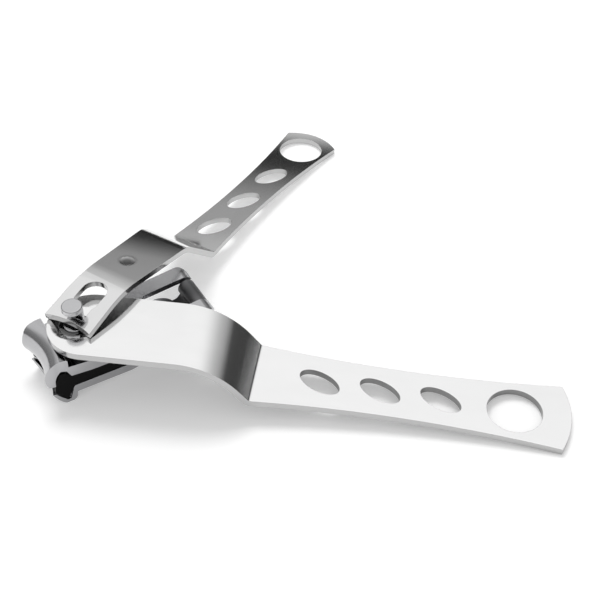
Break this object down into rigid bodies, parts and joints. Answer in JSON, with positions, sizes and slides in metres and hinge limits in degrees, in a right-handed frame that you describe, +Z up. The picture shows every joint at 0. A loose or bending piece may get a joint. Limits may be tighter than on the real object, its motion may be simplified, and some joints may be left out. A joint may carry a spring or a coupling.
{
  "type": "lever nail clipper",
  "caption": "Heavy-duty steel lever nail clipper with a swivelling head, two long perforated cranked handles and a black clippings catcher.",
  "frame": {"origin": "centre of the pin's flat foot, on the surface that the clipper lies on", "axes": "+X along the lower handle from the pin towards its end, +Z up along the pin's axis"},
  "size_m": [0.1548, 0.1366, 0.0266],
  "materials": {
    "handle_steel": "satin",
    "lever_steel": "satin",
    "jaw_steel": "polished",
    "pin_steel": "polished",
    "spring_steel": "satin",
    "catcher_plastic": "matte"
  },
  "bodies": {
    "handle": {"lower_handle": "handle_steel"},
    "head": {"upper_jaw": "jaw_steel", "swivel_collar": "pin_steel", "hinge_pin": "pin_steel"},
    "jaw": {"lower_jaw": "jaw_steel", "clippings_catcher": "catcher_plastic", "opening_spring": "spring_steel", "spring_rivet": "pin_steel"},
    "foot": {"foot_washer": "pin_steel"},
    "pin": {"pivot_pin": "pin_steel"},
    "lever": {"lever": "lever_steel"}
  },
  "joints": [
    {"name": "head_turn", "type": "hinge", "parent": "handle", "child": "head", "pos_m": [0, 0, 0.018], "axis": [0, 0, 1], "continuous": true},
    {"name": "jaw_close", "type": "hinge", "parent": "head", "child": "jaw", "pos_m": [0.0286, 0.02235, 0.013], "axis": [-0.6157, 0.788, 0], "range_deg": [0, 4.6], "stiffness_Nm_per_rad": 0.6, "springref_deg": -4.58, "deforming": ["opening_spring"]},
    {"name": "pin_lift", "type": "slide", "parent": "handle", "child": "foot", "axis": [0, 0, 1], "range_m": [0, 0.0028]},
    {"name": "lever_turn", "type": "hinge", "parent": "foot", "child": "pin", "pos_m": [0, 0, 0.021], "axis": [0, 0, 1], "range_deg": [-26, 253]},
    {"name": "lever_lift", "type": "hinge", "parent": "pin", "child": "lever", "pos_m": [-0.00037, -0.00086, 0.02138], "axis": [0.9188, -0.3947, 0], "range_deg": [0, 60]}
  ],
  "couplings": [
    {"joint": "jaw_close", "follows": "lever_lift", "ratio": 0.075},
    {"joint": "pin_lift", "follows": "lever_lift", "m_per_rad": 0.0026}
  ]
}
